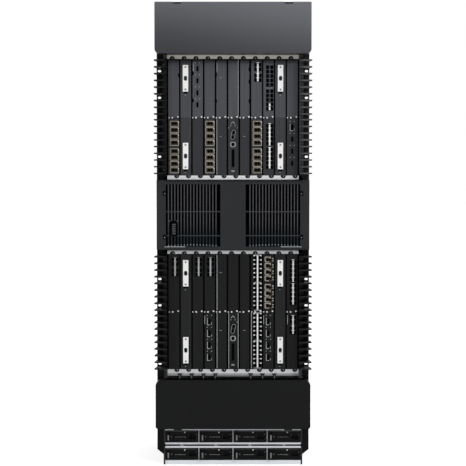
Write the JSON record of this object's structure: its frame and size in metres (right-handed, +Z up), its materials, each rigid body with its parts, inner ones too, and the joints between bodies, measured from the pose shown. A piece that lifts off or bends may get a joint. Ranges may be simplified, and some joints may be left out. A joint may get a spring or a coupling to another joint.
{
  "type": "chassis router",
  "caption": "Tall rack-mount modular router with card cages, white ejector levers, cable combs, a barred air intake, front covers, sliding power supplies and rear fan trays.",
  "frame": {"origin": "middle of the footprint, on the floor", "axes": "+Z up, the front with the cards faces -Y, +X to the viewer's right"},
  "size_m": [0.496, 0.612, 1.4649],
  "materials": {
    "hood_paint": "satin charcoal powder coat",
    "black_paint": "fine black powder coat",
    "cover_plastic": "matt black moulding",
    "bright_sheet": "bright zinc-plated sheet",
    "card_face": "satin dark grey face plates",
    "lever_white": "white moulded plastic",
    "pin_steel": "ground steel",
    "comb_plastic": "matt black moulded nylon",
    "supply_black": "black power supply case",
    "board_green": "circuit board laminate",
    "filter_foam": "open dust filter foam",
    "fan_plastic": "black fan rotor moulding"
  },
  "bodies": {
    "chassis": {"backplane": "board_green", "bottom_pan": "bright_sheet", "cable_tray": "bright_sheet", "eight_port_cards": "card_face", "filler_panels": "card_face", "framed_port_cards": "card_face", "hood": "hood_paint", "intake_filter": "filter_foam", "intake_panel": "black_paint", "left_side_wall": "black_paint", "lever_pins": "pin_steel", "lower_cage_ceiling": "bright_sheet", "lower_cage_floor": "bright_sheet", "lower_cover": "cover_plastic", "lower_fan_tray": "black_paint", "lower_left_combs": "comb_plastic", "lower_left_fabric_module": "card_face", "lower_right_combs": "comb_plastic", "lower_right_fabric_module": "card_face", "management_cards": "card_face", "power_bay": "bright_sheet", "power_rear_panel": "black_paint", "quad_port_cards": "card_face", "rear_panel": "black_paint", "right_side_wall": "black_paint", "socket_cards": "card_face", "top_panel": "black_paint", "twin_row_cards": "card_face", "upper_cage_ceiling": "bright_sheet", "upper_cage_floor": "bright_sheet", "upper_fan_tray": "black_paint", "upper_left_combs": "comb_plastic", "upper_left_fabric_module": "card_face", "upper_right_combs": "comb_plastic", "upper_right_fabric_module": "card_face"},
    "lower_fan_rotor_1": {"lower_fan_rotor_1": "fan_plastic"},
    "lower_fan_rotor_2": {"lower_fan_rotor_2": "fan_plastic"},
    "lower_fan_rotor_3": {"lower_fan_rotor_3": "fan_plastic"},
    "lower_left_bottom_lever": {"lower_left_bottom_lever": "lever_white"},
    "lower_left_top_lever": {"lower_left_top_lever": "lever_white"},
    "lower_power_supply_1": {"lower_power_supply_1": "supply_black"},
    "lower_power_supply_2": {"lower_power_supply_2": "supply_black"},
    "lower_power_supply_3": {"lower_power_supply_3": "supply_black"},
    "lower_power_supply_4": {"lower_power_supply_4": "supply_black"},
    "lower_right_bottom_lever": {"lower_right_bottom_lever": "lever_white"},
    "lower_right_top_lever": {"lower_right_top_lever": "lever_white"},
    "upper_fan_rotor_1": {"upper_fan_rotor_1": "fan_plastic"},
    "upper_fan_rotor_2": {"upper_fan_rotor_2": "fan_plastic"},
    "upper_fan_rotor_3": {"upper_fan_rotor_3": "fan_plastic"},
    "upper_left_bottom_lever": {"upper_left_bottom_lever": "lever_white"},
    "upper_left_top_lever": {"upper_left_top_lever": "lever_white"},
    "upper_power_supply_1": {"upper_power_supply_1": "supply_black"},
    "upper_power_supply_2": {"upper_power_supply_2": "supply_black"},
    "upper_power_supply_3": {"upper_power_supply_3": "supply_black"},
    "upper_power_supply_4": {"upper_power_supply_4": "supply_black"},
    "upper_right_bottom_lever": {"upper_right_bottom_lever": "lever_white"},
    "upper_right_top_lever": {"upper_right_top_lever": "lever_white"}
  },
  "joints": [
    {"name": "lower_fan_rotor_1_spin", "type": "hinge", "parent": "chassis", "child": "lower_fan_rotor_1", "pos_m": [-0.13547, 0.265, 0.1991], "axis": [0, 1, 0], "continuous": true},
    {"name": "lower_fan_rotor_2_spin", "type": "hinge", "parent": "chassis", "child": "lower_fan_rotor_2", "pos_m": [0, 0.265, 0.1991], "axis": [0, 1, 0], "continuous": true},
    {"name": "lower_fan_rotor_3_spin", "type": "hinge", "parent": "chassis", "child": "lower_fan_rotor_3", "pos_m": [0.13547, 0.265, 0.1991], "axis": [0, 1, 0], "continuous": true},
    {"name": "lower_left_bottom_lever_swing", "type": "hinge", "parent": "chassis", "child": "lower_left_bottom_lever", "pos_m": [-0.15, -0.255, 0.3299], "axis": [1, 0, 0], "range_deg": [0, 75]},
    {"name": "lower_left_top_lever_swing", "type": "hinge", "parent": "chassis", "child": "lower_left_top_lever", "pos_m": [-0.15, -0.255, 0.6504], "axis": [-1, 0, 0], "range_deg": [0, 75]},
    {"name": "lower_power_supply_1_slide", "type": "slide", "parent": "chassis", "child": "lower_power_supply_1", "axis": [0, -1, 0], "range_m": [0, 0.3]},
    {"name": "lower_power_supply_2_slide", "type": "slide", "parent": "chassis", "child": "lower_power_supply_2", "axis": [0, -1, 0], "range_m": [0, 0.3]},
    {"name": "lower_power_supply_3_slide", "type": "slide", "parent": "chassis", "child": "lower_power_supply_3", "axis": [0, -1, 0], "range_m": [0, 0.3]},
    {"name": "lower_power_supply_4_slide", "type": "slide", "parent": "chassis", "child": "lower_power_supply_4", "axis": [0, -1, 0], "range_m": [0, 0.3]},
    {"name": "lower_right_bottom_lever_swing", "type": "hinge", "parent": "chassis", "child": "lower_right_bottom_lever", "pos_m": [0.15, -0.255, 0.3299], "axis": [1, 0, 0], "range_deg": [0, 75]},
    {"name": "lower_right_top_lever_swing", "type": "hinge", "parent": "chassis", "child": "lower_right_top_lever", "pos_m": [0.15, -0.255, 0.6504], "axis": [-1, 0, 0], "range_deg": [0, 75]},
    {"name": "upper_fan_rotor_1_spin", "type": "hinge", "parent": "chassis", "child": "upper_fan_rotor_1", "pos_m": [-0.13547, 0.265, 1.384], "axis": [0, 1, 0], "continuous": true},
    {"name": "upper_fan_rotor_2_spin", "type": "hinge", "parent": "chassis", "child": "upper_fan_rotor_2", "pos_m": [0, 0.265, 1.384], "axis": [0, 1, 0], "continuous": true},
    {"name": "upper_fan_rotor_3_spin", "type": "hinge", "parent": "chassis", "child": "upper_fan_rotor_3", "pos_m": [0.13547, 0.265, 1.384], "axis": [0, 1, 0], "continuous": true},
    {"name": "upper_left_bottom_lever_swing", "type": "hinge", "parent": "chassis", "child": "upper_left_bottom_lever", "pos_m": [-0.15, -0.255, 0.9464], "axis": [1, 0, 0], "range_deg": [0, 75]},
    {"name": "upper_left_top_lever_swing", "type": "hinge", "parent": "chassis", "child": "upper_left_top_lever", "pos_m": [-0.15, -0.255, 1.2669], "axis": [-1, 0, 0], "range_deg": [0, 75]},
    {"name": "upper_power_supply_1_slide", "type": "slide", "parent": "chassis", "child": "upper_power_supply_1", "axis": [0, -1, 0], "range_m": [0, 0.3]},
    {"name": "upper_power_supply_2_slide", "type": "slide", "parent": "chassis", "child": "upper_power_supply_2", "axis": [0, -1, 0], "range_m": [0, 0.3]},
    {"name": "upper_power_supply_3_slide", "type": "slide", "parent": "chassis", "child": "upper_power_supply_3", "axis": [0, -1, 0], "range_m": [0, 0.3]},
    {"name": "upper_power_supply_4_slide", "type": "slide", "parent": "chassis", "child": "upper_power_supply_4", "axis": [0, -1, 0], "range_m": [0, 0.3]},
    {"name": "upper_right_bottom_lever_swing", "type": "hinge", "parent": "chassis", "child": "upper_right_bottom_lever", "pos_m": [0.15, -0.255, 0.9464], "axis": [1, 0, 0], "range_deg": [0, 75]},
    {"name": "upper_right_top_lever_swing", "type": "hinge", "parent": "chassis", "child": "upper_right_top_lever", "pos_m": [0.15, -0.255, 1.2669], "axis": [-1, 0, 0], "range_deg": [0, 75]}
  ]
}
